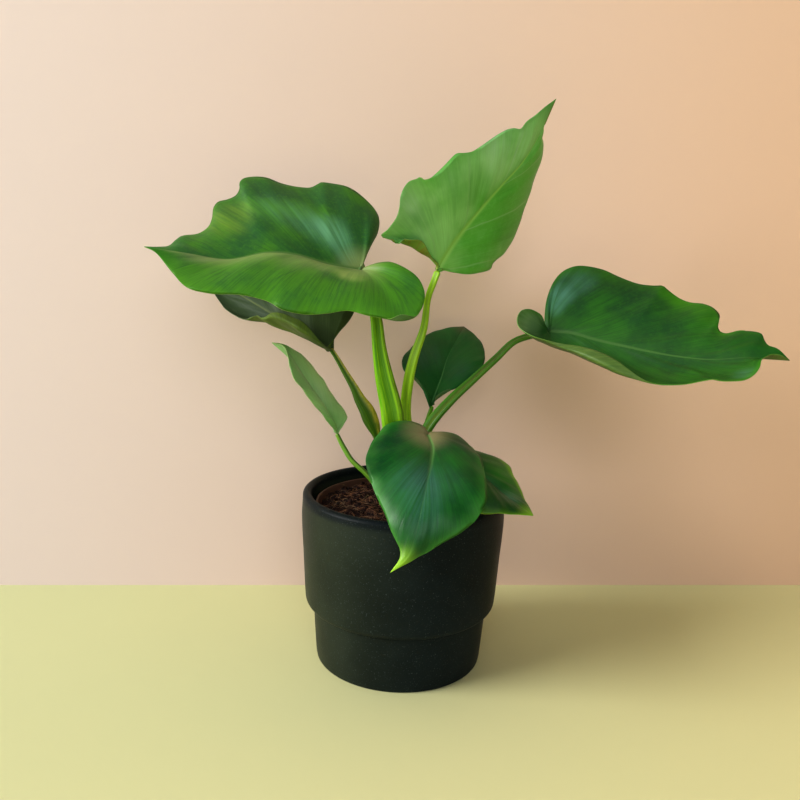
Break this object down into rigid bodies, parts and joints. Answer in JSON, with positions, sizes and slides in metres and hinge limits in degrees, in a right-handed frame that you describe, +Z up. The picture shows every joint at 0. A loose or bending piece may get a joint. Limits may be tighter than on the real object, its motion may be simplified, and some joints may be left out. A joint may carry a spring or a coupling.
{
  "type": "potted philodendron",
  "caption": "Young philodendron with heart-shaped leaves on grooved stalks, in a growing pot inside a stepped matt ceramic cover pot.",
  "frame": {"origin": "centre of the cover pot's base, on the surface it stands on", "axes": "+Z up along the pot's axis; -Y is the front, over whose rim the lowest large leaf hangs; +X towards the large leaf that reaches out to the right"},
  "size_m": [0.3942, 0.1944, 0.3854],
  "materials": {
    "black_ceramic": "matt, finely speckled",
    "brown_plastic": "matt",
    "coir_soil": "loose and rough",
    "stem": "fibrous",
    "stalk": "smooth, satin",
    "leaf": "waxy, satin",
    "young_leaf": "waxy, satin",
    "shaded_leaf": "waxy, satin"
  },
  "bodies": {
    "root": {"cover_pot": "black_ceramic", "growing_pot": "brown_plastic", "soil": "coir_soil", "crown": "stem", "stalk_left_large": "stalk", "leaf_left_large": "leaf", "stalk_top_young": "stalk", "leaf_top_young": "young_leaf", "stalk_right_large": "stalk", "leaf_right_large": "leaf", "stalk_back_small": "stalk", "leaf_back_small": "shaded_leaf", "stalk_left_lower": "stalk", "leaf_left_lower": "shaded_leaf", "stalk_front_hanging": "stalk", "leaf_front_hanging": "leaf", "stalk_right_rim": "stalk", "leaf_right_rim": "shaded_leaf", "stalk_left_satin": "stalk", "leaf_left_satin": "leaf"}
  },
  "joints": []
}
